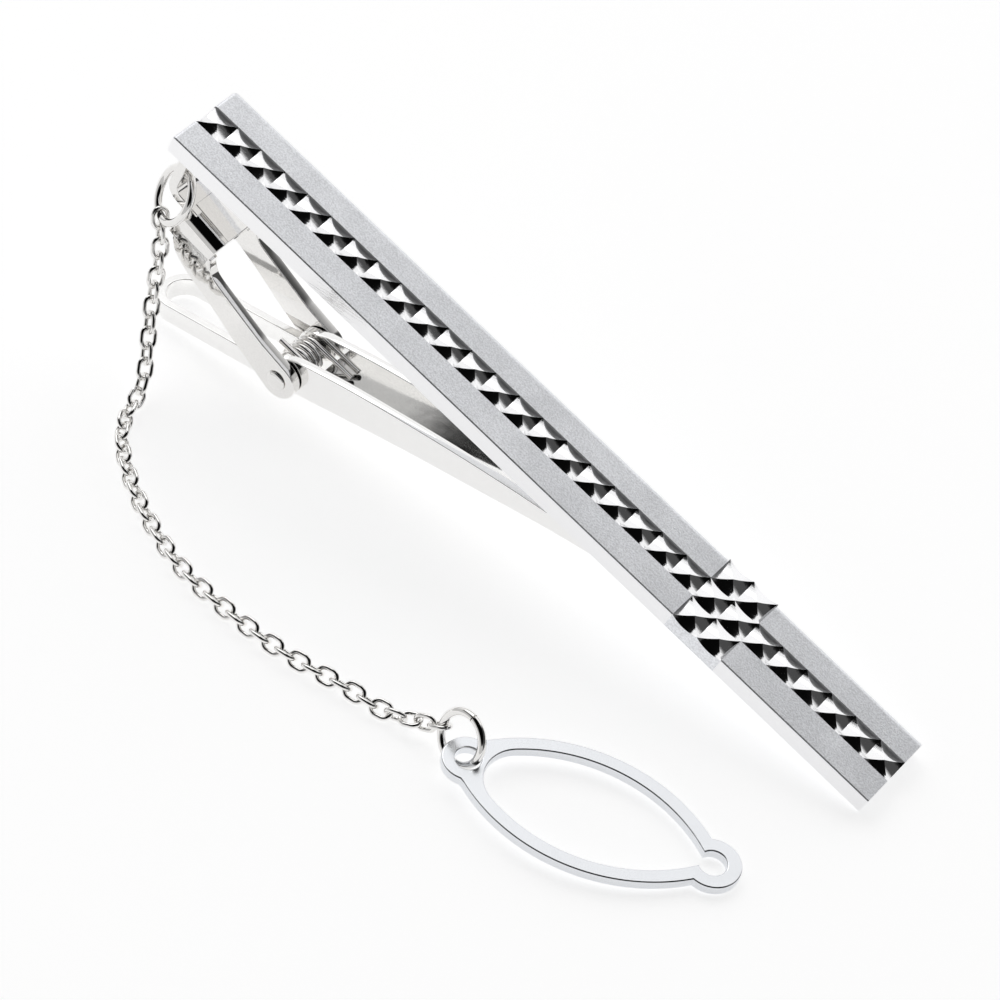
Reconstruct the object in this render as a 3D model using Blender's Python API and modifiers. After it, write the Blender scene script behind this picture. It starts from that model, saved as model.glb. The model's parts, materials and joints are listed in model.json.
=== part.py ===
"""Tie bar with a sprung clip, a fine cable chain and a flat button loop.

Metres, +Z up. The object lies as it is laid on a table: the free end of the bar and the finger end of
the clip lever touch the table (z = 0), the chain hangs from the clip's bracket and lies on the table.
Everything on the bar is built in the bar's own axes: X along the bar from the clip end, Y across it,
Z = 0 at the satin top. An empty called bar_frame carries those axes and the tilt.
"""

import math

import bmesh
import bpy
import numpy as np
from mathutils import Matrix, Vector

MM = 0.001

# Bar and its studs
STUD = 2.0 * MM
STUDS_LONG = 29
STUDS_WIDE = 3
CROSS_STUDS = (21, 22)
STUD_HEIGHT = 0.5 * MM
POCKET_WALL = 0.05 * MM
BAR_LENGTH = STUDS_LONG * STUD
BAR_WIDTH = STUDS_WIDE * STUD
BAR_THICK = 1.5 * MM

# Clip bracket, bent from sheet
SHEET = 0.7 * MM
SOLDER_GAP = 0.02 * MM
FLUSH = 0.01 * MM
BRACKET_HALF = 2.6 * MM
FLANGE_END = 6.5 * MM
PLATE_START = 2.6 * MM
PLATE_END = 5.75 * MM
PLATE_Z = -6.35 * MM
PLATE_SLOPE = math.radians(9.0)
BEND_RADIUS = 0.9 * MM
WALL_X = 0.95 * MM
WALL_HALF = 2.0 * MM
LEG_END_RADIUS = 1.4 * MM
RING_HOLE_Y = -1.0 * MM
RING_HOLE_Z = -4.36 * MM
RING_HOLE_RADIUS = 0.7 * MM

# Hinge pin
PIVOT = Vector((13.2, 0.0, -11.7)) * MM
PIN_RADIUS = 0.5 * MM
PIN_CLEARANCE = 0.04 * MM
PIN_HEAD_RADIUS = 0.72 * MM
PIN_HEAD_HEIGHT = 0.22 * MM

# Lever: channel jaw in front of the pin, open finger loop behind it
LEVER_HALF = 1.8 * MM
LEVER_SHEET = 0.6 * MM
LEVER_EAR_RADIUS = 1.3 * MM
TAIL_LENGTH = 11.6 * MM
TAIL_HEIGHT = 1.4 * MM
TAIL_SLOPE = math.radians(22.9)
TAIL_DROP = 0.5 * MM
JAW_GAP = 0.05 * MM

# Torsion spring
SPRING_WIRE = 0.38 * MM
SPRING_RADIUS = 1.05 * MM
SPRING_TURNS = 4
SPRING_PITCH = 0.42 * MM
SPRING_TURN_POINTS = 14
SPRING_JAW_ARM = 3.2 * MM
SPRING_REST_ARM = 1.6 * MM

# Rings: centre, direction of the highest point and axis of each
RING_WIRE = 0.54 * MM
UPPER_RING_RADIUS = 1.78 * MM
UPPER_RING_CENTRE = Vector((1.38, -2.0, -5.655)) * MM
UPPER_RING_TOP = Vector((-0.004, 0.405, 0.914))
UPPER_RING_AXIS = Vector((-0.572, -0.751, 0.33))
LOWER_RING_RADIUS = 1.62 * MM
LOWER_RING_CENTRE = Vector((35.45, -16.4, 1.95)) * MM
LOWER_RING_TOP = Vector((0.096, 0.387, 0.917))
LOWER_RING_AXIS = Vector((-0.222, -0.889, 0.4))
LOWER_RING_GRIP = math.radians(-105)

# Cable chain: oval wire links, each through the next
LINK_WIRE = 0.3 * MM
LINK_RADIUS = 0.48 * MM
LINK_STRAIGHT = 0.373 * MM
LINK_GAP = 0.05 * MM
LINKS = 48
LINK_ROLL = math.radians(45)
HANGING_LINKS = 12
RISING_LINKS = 5
CHAIN_Z = 0.54
CHAIN_DROP = (
    (0.06, -3.4, 8.0), (0.79, -4.71, 5.0), (1.85, -6.15, 2.8), (2.6, -7.2, 1.45), (3.1, -8.3, 0.72)
)
CHAIN_FLOOR = (
    (3.45, -9.5), (4.53, -11.4), (6.7, -13.3), (10.03, -15.3), (14.25, -16.94), (18.65, -17.6),
    (23.14, -17.7), (27.35, -17.2), (30.4, -16.95),
)
CHAIN_RISE = ((32.6, -16.45, 1.05),)

# Button loop, a flat stamping along its own u axis from the eye
LOOP_THICK = 0.7 * MM
LOOP_BAND = 0.92 * MM
LOOP_HALF_WIDTH = 4.35 * MM
LOOP_MIDDLE = 7.6 * MM
LOOP_ARC_RADIUS = 11.26 * MM
LOOP_NECK = 14.84 * MM
LOOP_END_RADIUS = 2.29 * MM
LOOP_END_CENTRE = 3.47 * MM
EYE_RADIUS = 1.6 * MM
EYE_HOLE_RADIUS = 0.8 * MM
EYE_CENTRE = Vector((36.43, -16.93, 1.12)) * MM
KNOB_RADIUS = 1.77 * MM
KNOB_HOLE_RADIUS = 0.85 * MM
KNOB_CENTRE = 15.55 * MM
LOOP_HEADING = math.radians(16.2)

ARC_STEPS = 8
SILVER = (0.86, 0.86, 0.87)
SATIN = (0.78, 0.79, 0.81)


# ---------------------------------------------------------------- helpers

def clear_scene():
    for obj in list(bpy.data.objects):
        bpy.data.objects.remove(obj, do_unlink=True)


def new_collection(name, parent):
    made = bpy.data.collections.new(name)
    parent.children.link(made)
    return made


def metal(name, colour, roughness):
    made = bpy.data.materials.new(name)
    made.use_nodes = True
    shader = made.node_tree.nodes["Principled BSDF"]
    shader.inputs["Base Color"].default_value = (*colour, 1.0)
    shader.inputs["Metallic"].default_value = 1.0
    shader.inputs["Roughness"].default_value = roughness
    return made


def arc(cx, cy, radius, start, end, steps=ARC_STEPS):
    """Points of an arc from start to end degrees, both ends included."""
    turn = np.radians(np.linspace(start, end, steps + 1))
    return [(cx + radius * math.cos(a), cy + radius * math.sin(a)) for a in turn]


def curve_object(name, splines, closed, depth=0.0, bevel=0.0, flat=False, sides=6):
    """A POLY curve object: flat outlines are filled and extruded by depth, others are wires."""
    data = bpy.data.curves.new(name, "CURVE")
    data.dimensions = "2D" if flat else "3D"
    if flat:
        data.fill_mode = "BOTH" if closed else "NONE"
    data.extrude = depth / 2
    data.bevel_depth = bevel
    data.bevel_resolution = sides // 2 - 2
    data.use_fill_caps = bevel > 0 and not closed
    for points in splines:
        spline = data.splines.new("POLY")
        spline.points.add(len(points) - 1)
        for slot, point in zip(spline.points, points):
            slot.co = (*point, 0.0, 1.0) if len(point) == 2 else (*point, 1.0)
        spline.use_cyclic_u = closed
    obj = bpy.data.objects.new(name, data)
    bpy.context.scene.collection.objects.link(obj)
    return obj


def as_mesh(curve, shift=Matrix()):
    """Turns a curve object into a mesh object of the same name, its loose caps welded."""
    graph = bpy.context.evaluated_depsgraph_get()
    data = bpy.data.meshes.new_from_object(curve.evaluated_get(graph))
    name = curve.name
    bpy.data.objects.remove(curve, do_unlink=True)
    work = bmesh.new()
    work.from_mesh(data)
    bmesh.ops.remove_doubles(work, verts=work.verts, dist=1e-7)
    bmesh.ops.recalc_face_normals(work, faces=work.faces)
    bmesh.ops.transform(work, matrix=shift, verts=work.verts)
    work.to_mesh(data)
    work.free()
    obj = bpy.data.objects.new(name, data)
    bpy.context.scene.collection.objects.link(obj)
    return obj


def side_plate(name, outline, y_low, y_high):
    """An outline in the bar's X and Z, as a plate from y_low to y_high."""
    plate = curve_object(name, [outline], True, depth=y_high - y_low, flat=True)
    stand_up = Matrix.Rotation(math.radians(90), 4, "X")
    return as_mesh(plate, Matrix.Translation((0, (y_low + y_high) / 2, 0)) @ stand_up)


def cylinder(name, radius, length, centre, axis="Z", segments=24):
    work = bmesh.new()
    turn = {
        "X": Matrix.Rotation(math.radians(90), 4, "Y"),
        "Y": Matrix.Rotation(math.radians(90), 4, "X"),
        "Z": Matrix(),
    }[axis]
    bmesh.ops.create_cone(
        work, cap_ends=True, segments=segments, radius1=radius, radius2=radius, depth=length,
        matrix=Matrix.Translation(centre) @ turn,
    )
    return from_bmesh(name, work)


def from_bmesh(name, work):
    data = bpy.data.meshes.new(name)
    work.to_mesh(data)
    work.free()
    obj = bpy.data.objects.new(name, data)
    bpy.context.scene.collection.objects.link(obj)
    return obj


def combine(target, others, operation):
    """Adds one exact Boolean for each of the other objects, which become helpers."""
    for other in others:
        modifier = target.modifiers.new(f"{operation.lower()}_{other.name}", "BOOLEAN")
        modifier.operation = operation
        modifier.solver = "EXACT"
        modifier.object = other
        other.parent = target
        move_to(other, CUTTERS)
        other.hide_render = True
        other.display_type = "WIRE"


def move_to(obj, home):
    for old in list(obj.users_collection):
        old.objects.unlink(obj)
    home.objects.link(obj)


def finish(obj, material, parent):
    """Puts a finished sub-part in the object's collection, with its material and its parent."""
    move_to(obj, PARTS)
    if not obj.data.materials:
        obj.data.materials.append(material)
    obj.parent = parent
    obj.data.shade_smooth()
    obj.data.set_sharp_from_angle(angle=math.radians(35))
    return obj


# ---------------------------------------------------------------- bar

def tail_axis():
    """Unit vector from the pin towards the finger end, and the tail's own up, in the bar's axes."""
    along = Vector((-math.cos(TAIL_SLOPE), 0.0, -math.sin(TAIL_SLOPE)))
    up = Vector((-math.sin(TAIL_SLOPE), 0.0, math.cos(TAIL_SLOPE)))
    return along, up


def table_tilt():
    """The tilt that sets the bar's free end and the lever's finger end on one level."""
    along, up = tail_axis()
    low = PIVOT + along * TAIL_LENGTH - up * (TAIL_DROP + TAIL_HEIGHT / 2)
    return math.atan2(-BAR_THICK - low.z, BAR_LENGTH - low.x)


def make_bar(parent):
    work = bmesh.new()
    half = Matrix.Diagonal((BAR_LENGTH / 2, BAR_WIDTH / 2, 1.0, 1.0))
    place = Matrix.Translation((BAR_LENGTH / 2, 0, 0)) @ half
    bmesh.ops.create_grid(work, x_segments=STUDS_LONG, y_segments=STUDS_WIDE, size=1.0, matrix=place)
    rim = [edge for edge in work.edges if edge.is_boundary]
    sides = bmesh.ops.extrude_edge_only(work, edges=rim)["geom"]
    lower = [item for item in sides if isinstance(item, bmesh.types.BMVert)]
    bmesh.ops.translate(work, vec=(0, 0, -BAR_THICK), verts=lower)
    bmesh.ops.contextual_create(work, geom=[e for e in work.edges if e.is_boundary])
    bmesh.ops.recalc_face_normals(work, faces=work.faces)
    studs = [face for face in work.faces if is_stud(face)]
    bmesh.ops.inset_region(
        work, faces=studs, thickness=POCKET_WALL, depth=-STUD_HEIGHT, use_even_offset=True
    )
    bmesh.ops.poke(work, faces=studs, offset=STUD_HEIGHT)
    bar = from_bmesh("bar", work)
    return finish(bar, METAL["satin"], parent)


def is_stud(face):
    centre = face.calc_center_median()
    if face.normal.z < 0.5:
        return False
    column = int(centre.x / STUD)
    return abs(centre.y) < STUD / 2 or column in CROSS_STUDS


# ---------------------------------------------------------------- clip bracket

def bracket_wall():
    """Strip soldered under the bar, turned down at the clip end and back under the bar."""
    top = -BAR_THICK - SOLDER_GAP - SHEET / 2
    low = plate_height(WALL_X + BEND_RADIUS)
    path = [(FLANGE_END, top)]
    path += arc(WALL_X + BEND_RADIUS, top - BEND_RADIUS, BEND_RADIUS, 90, 180, 5)
    path += arc(WALL_X + BEND_RADIUS, low + BEND_RADIUS, BEND_RADIUS, 180, 270, 5)
    path += [(PLATE_START + SHEET, plate_height(PLATE_START + SHEET))]
    return ribbon("bracket_wall", path, -WALL_HALF, WALL_HALF)


def plate_height(x):
    """Middle of the bracket's lower plate at x."""
    return PLATE_Z + (PLATE_END - x) * math.tan(PLATE_SLOPE)


def ribbon(name, path, y_low, y_high):
    """A strip of sheet along a path in X and Z, its thickness shared to both sides of the path."""
    strip = curve_object(name, [path], False, depth=y_high - y_low, flat=True)
    stand_up = Matrix.Rotation(math.radians(90), 4, "X")
    strip = as_mesh(strip, Matrix.Translation((0, (y_low + y_high) / 2, 0)) @ stand_up)
    solidify = strip.modifiers.new("sheet", "SOLIDIFY")
    solidify.thickness = SHEET - 2 * FLUSH
    solidify.offset = 0.0
    solidify.use_even_offset = True
    return strip


def bracket_channel():
    """The lower plate with its two sides folded down, a rounded channel along X."""
    mid = BRACKET_HALF - SHEET / 2
    depth = 2.2 * MM
    path = [(-mid, -depth)]
    path += arc(-mid + BEND_RADIUS, -BEND_RADIUS, BEND_RADIUS, 180, 90, 5)
    path += arc(mid - BEND_RADIUS, -BEND_RADIUS, BEND_RADIUS, 90, 0, 5)
    path += [(mid, -depth)]
    strip = curve_object("bracket_channel", [path], False, depth=PLATE_END - PLATE_START, flat=True)
    upright = Matrix.Rotation(math.radians(90), 4, "Z") @ Matrix.Rotation(math.radians(90), 4, "X")
    middle = (PLATE_START + PLATE_END) / 2
    place = Matrix.Translation((middle, 0, plate_height(middle)))
    lean = Matrix.Rotation(PLATE_SLOPE, 4, "Y")
    channel = as_mesh(strip, place @ lean @ upright)
    solidify = channel.modifiers.new("sheet", "SOLIDIFY")
    solidify.thickness = SHEET
    solidify.offset = 0.0
    solidify.use_even_offset = True
    return channel


def leg_outline():
    """Side view of a leg: from the folded cheek down to the round end about the pin."""
    px, pz = PIVOT.x, PIVOT.z
    upper = [
        (2.6, -7.1), (5.7, -7.3), (5.78, -7.75), (6.05, -8.2), (6.6, -8.6), (8.4, -9.15), (11.2, -9.95)
    ]
    end = arc(px, pz, LEG_END_RADIUS, 78, -112, 10)
    lower = [(9.3, -11.75), (6.9, -10.75), (4.6, -9.95), (3.3, -9.2), (2.7, -8.3)]
    return [(x * MM, z * MM) for x, z in upper] + end + [(x * MM, z * MM) for x, z in lower]


def make_bracket(parent):
    bracket = bracket_channel()
    bracket.name = "clip_bracket"
    outer = BRACKET_HALF - FLUSH
    inner = BRACKET_HALF - SHEET + FLUSH
    near = side_plate("leg_near", leg_outline(), -outer, -inner)
    far = side_plate("leg_far", leg_outline(), inner, outer)
    combine(bracket, [near, far, bracket_wall()], "UNION")
    pin_hole = cylinder(
        "pin_hole", PIN_RADIUS + PIN_CLEARANCE, 4 * BRACKET_HALF, PIVOT, axis="Y", segments=20
    )
    ring_hole = cylinder(
        "ring_hole", RING_HOLE_RADIUS, 3 * SHEET, (WALL_X, RING_HOLE_Y, RING_HOLE_Z), axis="X", segments=20
    )
    combine(bracket, [pin_hole, ring_hole], "DIFFERENCE")
    return finish(bracket, METAL["polished"], parent)


# ---------------------------------------------------------------- pin, lever and spring

def make_pin(parent):
    """A rivet: a straight shank and a low domed head outside each leg, as one turned profile."""
    half = BRACKET_HALF + PIN_CLEARANCE
    head = [
        (0.0, half + PIN_HEAD_HEIGHT),
        (0.45 * PIN_HEAD_RADIUS, half + 0.86 * PIN_HEAD_HEIGHT),
        (0.85 * PIN_HEAD_RADIUS, half + 0.5 * PIN_HEAD_HEIGHT),
        (PIN_HEAD_RADIUS, half),
        (PIN_RADIUS, half),
    ]
    profile = head + [(x, -z) for x, z in reversed(head)]
    work = bmesh.new()
    verts = [work.verts.new((x, 0, z)) for x, z in profile]
    for first, second in zip(verts, verts[1:]):
        work.edges.new((first, second))
    pin = from_bmesh("hinge_pin", work)
    pin.data.transform(Matrix.Rotation(math.radians(90), 4, "X"))
    screw = pin.modifiers.new("turned", "SCREW")
    screw.axis = "Y"
    screw.steps = 20
    screw.render_steps = 20
    screw.use_normal_flip = True
    screw.use_merge_vertices = True
    screw.merge_threshold = 1e-6
    pin.location = PIVOT
    return finish(pin, METAL["polished"], parent)


def jaw_line(points):
    return [(x * MM - PIVOT.x, z * MM - PIVOT.z) for x, z in points]


def jaw_top():
    contact = (-BAR_THICK - JAW_GAP) / MM
    return jaw_line(
        [(13.6, -9.85), (17.1, -8.26), (20.4, -6.96), (23.7, -5.74), (27.0, -4.6), (30.5, -3.5),
         (34.0, -2.5), (37.2, contact), (38.6, contact)]
    )


def jaw_bottom():
    return jaw_line(
        [(14.0, -12.72), (14.85, -12.3), (17.0, -11.28), (22.1, -8.85), (27.9, -6.3), (33.0, -4.1),
         (38.0, -2.25), (38.7, -1.9)]
    )


def jaw_wall(name, y_low, y_high):
    """Side wall of the jaw with its round ear about the pin; the pin is the origin."""
    ear = arc(0, 0, LEVER_EAR_RADIUS, 105, 290, 10)
    outline = jaw_top()[::-1] + ear + jaw_bottom()
    return side_plate(name, outline, y_low, y_high)


def make_lever(parent):
    inner = LEVER_HALF - LEVER_SHEET
    lever = tail_band()
    lever.name = "clip_lever"
    near = jaw_wall("jaw_near", -LEVER_HALF + FLUSH, -inner - FLUSH)
    far = jaw_wall("jaw_far", inner + FLUSH, LEVER_HALF - FLUSH)
    low = [(x, z + FLUSH) for x, z in jaw_bottom()[1:]]
    top = [(x - 0.2 * LEVER_SHEET, z + LEVER_SHEET) for x, z in low[:-2]] + [low[-1]]
    floor = side_plate("jaw_floor", low + top[::-1][1:], -inner - 0.1 * MM, inner + 0.1 * MM)
    combine(lever, [near, far, floor], "UNION")
    hole = cylinder(
        "lever_hole", PIN_RADIUS + PIN_CLEARANCE, 4 * LEVER_HALF, (0, 0, 0), axis="Y", segments=20
    )
    combine(lever, [hole], "DIFFERENCE")
    lever.location = PIVOT
    return finish(lever, METAL["polished"], parent)


def tail_band():
    """The finger loop: a band of sheet on edge, two rails joined by a half ring."""
    inner = LEVER_HALF - LEVER_SHEET
    start = -0.4 * MM
    turn = TAIL_LENGTH - LEVER_HALF
    outer = [(start, -LEVER_HALF)] + arc(turn, 0, LEVER_HALF, -90, 90) + [(start, LEVER_HALF)]
    hollow = [(start, inner)] + arc(turn, 0, inner, 90, -90) + [(start, -inner)]
    band = curve_object("tail_band", [outer + hollow], True, depth=TAIL_HEIGHT, flat=True)
    along, up = tail_axis()
    across = up.cross(along)
    turned = Matrix((along, across, up)).transposed().to_4x4()
    return as_mesh(band, Matrix.Translation(-up * TAIL_DROP) @ turned)


def make_spring(parent):
    """A close coil about the pin: one arm lies along the jaw's floor, the other points back."""
    half = SPRING_TURNS * SPRING_PITCH / 2
    count = SPRING_TURNS * SPRING_TURN_POINTS
    points = []
    for step in range(count + 1):
        part = step / count
        angle = math.pi / 2 - part * SPRING_TURNS * math.tau
        points.append(
            (SPRING_RADIUS * math.cos(angle), -half + part * 2 * half, SPRING_RADIUS * math.sin(angle))
        )
    rest_arm = [(-SPRING_REST_ARM, -half, SPRING_RADIUS), (-SPRING_REST_ARM / 2, -half, SPRING_RADIUS)]
    jaw_arm = [(SPRING_JAW_ARM / 2, half, SPRING_RADIUS), (SPRING_JAW_ARM, half, SPRING_RADIUS)]
    wire = curve_object("torsion_spring", [rest_arm + points + jaw_arm], False, bevel=SPRING_WIRE / 2)
    spring = as_mesh(wire)
    spring.location = PIVOT
    return finish(spring, METAL["polished"], parent)


# ---------------------------------------------------------------- rings and chain

def basis(first, third):
    """Rotation whose X is first and whose Z is third, made square to X."""
    x = first.normalized()
    z = (third - x * third.dot(x)).normalized()
    return Matrix((x, z.cross(x), z)).transposed()


def make_ring(name, radius, centre, top, axis, parent):
    """A round wire ring, its origin at its centre, its X towards its top and its Z along its axis."""
    path = [(x, y, 0.0) for x, y in arc(0, 0, radius, 0, 360, 28)[:-1]]
    ring = as_mesh(curve_object(name, [path], True, bevel=RING_WIRE / 2, sides=8))
    turn = basis(top, axis)
    ring.matrix_local = Matrix.Translation(centre) @ turn.to_4x4()
    return finish(ring, METAL["polished"], parent)


def on_ring(radius, centre, top, axis, angle):
    """Point of a ring's wire at an angle from its top, and the wire's direction there."""
    turn = basis(top, axis)
    point = Vector((math.cos(angle), -math.sin(angle), 0.0))
    along = Vector((-math.sin(angle), -math.cos(angle), 0.0))
    return centre + turn @ point * radius, turn @ along


def link_mesh():
    """An oval wire link along X, from the centre of its left half circle to that of its right one."""
    right = arc(LINK_STRAIGHT, 0, LINK_RADIUS, -90, 90, 6)
    left = arc(0, 0, LINK_RADIUS, 90, 270, 6)
    path = [(x, y, 0.0) for x, y in right + left]
    link = as_mesh(curve_object("link_wire", [path], True, bevel=LINK_WIRE / 2))
    data = link.data
    bpy.data.objects.remove(link, do_unlink=True)
    return data


def smooth_route(points, samples=60):
    """Points of a centripetal curve through the route's own points."""
    ends = [2 * points[0] - points[1]] + points + [2 * points[-1] - points[-2]]
    path = []
    for a, b, c, d in zip(ends, ends[1:], ends[2:], ends[3:]):
        t1 = (b - a).length ** 0.5
        t2 = t1 + (c - b).length ** 0.5
        t3 = t2 + (d - c).length ** 0.5
        for step in range(samples):
            t = t1 + (t2 - t1) * step / samples
            ab = a.lerp(b, t / t1)
            bc = b.lerp(c, (t - t1) / (t2 - t1))
            cd = c.lerp(d, (t - t2) / (t3 - t2))
            early = ab.lerp(bc, t / t2)
            late = bc.lerp(cd, (t - t1) / (t3 - t1))
            path.append(early.lerp(late, (t - t1) / (t2 - t1)))
    return path + [points[-1]]


def walk(path, steps):
    """Points at the given distances from one another, in straight lines, along the path."""
    spots = [path[0]]
    index = 0
    for step in steps:
        while index < len(path) - 1 and (path[index] - spots[-1]).length < step:
            index += 1
        heading = (path[index] - spots[-1]).normalized()
        spots.append(spots[-1] + heading * step)
    return spots


def turned_to(normal, heading, target):
    """Smallest turn of normal about heading that brings it into line with target."""
    flat = (target - heading * target.dot(heading)).normalized()
    angle = math.atan2(normal.cross(flat).dot(heading), normal.dot(flat))
    return (angle + math.pi / 2) % math.pi - math.pi / 2


def link_normals(headings, first, last):
    """Normal of each link's own plane: rolled to and fro by turns, and square to the rings at the ends."""
    up = Vector((0, 0, 1))
    normals = []
    for index in reversed(range(LINKS)):
        heading = headings[index]
        up = (up - heading * up.dot(heading)).normalized()
        roll = LINK_ROLL if index % 2 else -LINK_ROLL
        normals.insert(0, Matrix.Rotation(roll, 3, heading) @ up)
    start = turned_to(normals[0], headings[0], first)
    end = turned_to(normals[-1], headings[-1], last)
    for index in range(LINKS):
        share = start * max(0.0, 1 - index / HANGING_LINKS)
        share += end * max(0.0, 1 - (LINKS - 1 - index) / RISING_LINKS)
        normals[index] = Matrix.Rotation(share, 3, headings[index]) @ normals[index]
    return normals


def make_chain(start, start_axis, end, end_axis, parent):
    """Links from the wire of one ring to that of the other; each one's origin is where it is held."""
    floor = [(x, y, CHAIN_Z) for x, y in CHAIN_FLOOR]
    middle = [Vector(point) * MM for point in (*CHAIN_DROP, *floor, *CHAIN_RISE)]
    path = smooth_route([start] + middle + [end])
    meeting = 2 * LINK_RADIUS - LINK_WIRE - LINK_GAP
    steps = [LINK_STRAIGHT, meeting] * LINKS
    spots = walk(path, steps[:-1])
    firsts, lasts = spots[0::2], spots[1::2]
    headings = [(b - a).normalized() for a, b in zip(firsts, lasts)]
    normals = link_normals(headings, start_axis, end_axis)
    shape = link_mesh()
    for index, (heading, normal) in enumerate(zip(headings, normals)):
        held = firsts[0] if index == 0 else lasts[index - 1].lerp(firsts[index], LINK_RADIUS / meeting)
        turn = basis(heading, normal)
        data = shape.copy()
        data.name = f"chain_link_{index + 1:02d}"
        data.transform(Matrix.Translation(turn.transposed() @ (firsts[index] - held)))
        link = bpy.data.objects.new(data.name, data)
        link.matrix_local = Matrix.Translation(held) @ turn.to_4x4()
        finish(link, METAL["polished"], parent)


# ---------------------------------------------------------------- button loop

def body_arc(radius, start, end, steps=18):
    """Points of one side of the oval body, u from start to end."""
    drop = LOOP_ARC_RADIUS - LOOP_HALF_WIDTH
    us = np.linspace(start, end, steps)
    return [(u, math.sqrt(radius**2 - (u - LOOP_MIDDLE) ** 2) - drop) for u in us]


def loop_outlines():
    outer = arc(0, 0, EYE_RADIUS, 180, 85, 8)[1:]
    outer += body_arc(LOOP_ARC_RADIUS, 0.45 * MM, LOOP_NECK - 0.1 * MM)
    outer += arc(KNOB_CENTRE, 0, KNOB_RADIUS, 111, 0, 9)[:-1]
    inner_radius = LOOP_ARC_RADIUS - LOOP_BAND
    inner = arc(LOOP_END_CENTRE, 0, LOOP_END_RADIUS, 180, 121, 6)[1:]
    inner += body_arc(inner_radius, 2.6 * MM, LOOP_NECK)
    inner += arc(KNOB_CENTRE, 0, KNOB_HOLE_RADIUS, 146, 0, 8)[1:-1]
    tips = [(-EYE_RADIUS, 0.0)], [(LOOP_END_CENTRE - LOOP_END_RADIUS, 0.0)]
    outer_end = [(KNOB_CENTRE + KNOB_RADIUS, 0.0)]
    inner_end = [(KNOB_CENTRE + KNOB_HOLE_RADIUS, 0.0)]
    rim = tips[0] + outer + outer_end + [(x, -y) for x, y in reversed(outer)]
    opening = tips[1] + inner + inner_end + [(x, -y) for x, y in reversed(inner)]
    eye = arc(0, 0, EYE_HOLE_RADIUS, 0, 360, 20)[:-1]
    return [rim, opening, eye]


def make_loop(parent):
    """The stamping, its origin at the lower ring's centre; its far end rests on the table."""
    loop = curve_object("button_loop", loop_outlines(), True, depth=LOOP_THICK, flat=True)
    far = KNOB_CENTRE + KNOB_RADIUS
    dip = math.asin((EYE_CENTRE.z - LOOP_THICK / 2) / far)
    turn = Matrix.Rotation(LOOP_HEADING, 4, "Z") @ Matrix.Rotation(dip, 4, "Y")
    loop = as_mesh(loop, Matrix.Translation(EYE_CENTRE - LOWER_RING_CENTRE) @ turn)
    loop.location = LOWER_RING_CENTRE
    return finish(loop, METAL["satin"], parent)


# ---------------------------------------------------------------- assembly

def empty(name, parent=None):
    made = bpy.data.objects.new(name, None)
    PARTS.objects.link(made)
    made.parent = parent
    return made


def centre_on_table(root):
    """Moves everything so that the box of all the pieces stands on the origin."""
    bpy.context.view_layer.update()
    graph = bpy.context.evaluated_depsgraph_get()
    corners = []
    for obj in PARTS.objects:
        if obj.type == "MESH":
            solid = obj.evaluated_get(graph)
            corners += [solid.matrix_world @ vert.co for vert in solid.data.vertices]
    spots = np.array(corners)
    low, high = spots.min(axis=0), spots.max(axis=0)
    root.location = (-(low[0] + high[0]) / 2, -(low[1] + high[1]) / 2, -low[2])


clear_scene()
PARTS = new_collection("tie_bar", bpy.context.scene.collection)
CUTTERS = new_collection("tie_bar_cutters", bpy.context.scene.collection)
CUTTERS.hide_render = True
METAL = {"satin": metal("satin_metal", SATIN, 0.38), "polished": metal("polished_metal", SILVER, 0.12)}

tie_bar = empty("tie_bar")
bar_frame = empty("bar_frame", tie_bar)
TILT = table_tilt()
bar_frame.location.z = BAR_LENGTH * math.sin(TILT) + BAR_THICK * math.cos(TILT)
bar_frame.rotation_euler.y = TILT

make_bar(bar_frame)
make_bracket(bar_frame)
make_lever(bar_frame)
make_pin(bar_frame)
make_spring(bar_frame)
make_ring(
    "upper_jump_ring", UPPER_RING_RADIUS, UPPER_RING_CENTRE, UPPER_RING_TOP, UPPER_RING_AXIS, bar_frame
)
make_ring(
    "lower_jump_ring", LOWER_RING_RADIUS, LOWER_RING_CENTRE, LOWER_RING_TOP, LOWER_RING_AXIS, tie_bar
)
make_loop(tie_bar)

bpy.context.view_layer.update()
hang, hang_axis = on_ring(UPPER_RING_RADIUS, UPPER_RING_CENTRE, UPPER_RING_TOP, UPPER_RING_AXIS, math.pi)
grip, grip_axis = on_ring(
    LOWER_RING_RADIUS, LOWER_RING_CENTRE, LOWER_RING_TOP, LOWER_RING_AXIS, LOWER_RING_GRIP
)
bar_matrix = bar_frame.matrix_world
make_chain(bar_matrix @ hang, bar_matrix.to_3x3() @ hang_axis, grip, grip_axis, tie_bar)
centre_on_table(tie_bar)
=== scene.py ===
import json
import math

import bmesh
import bpy
import numpy as np
from mathutils import Matrix, Vector

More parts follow.
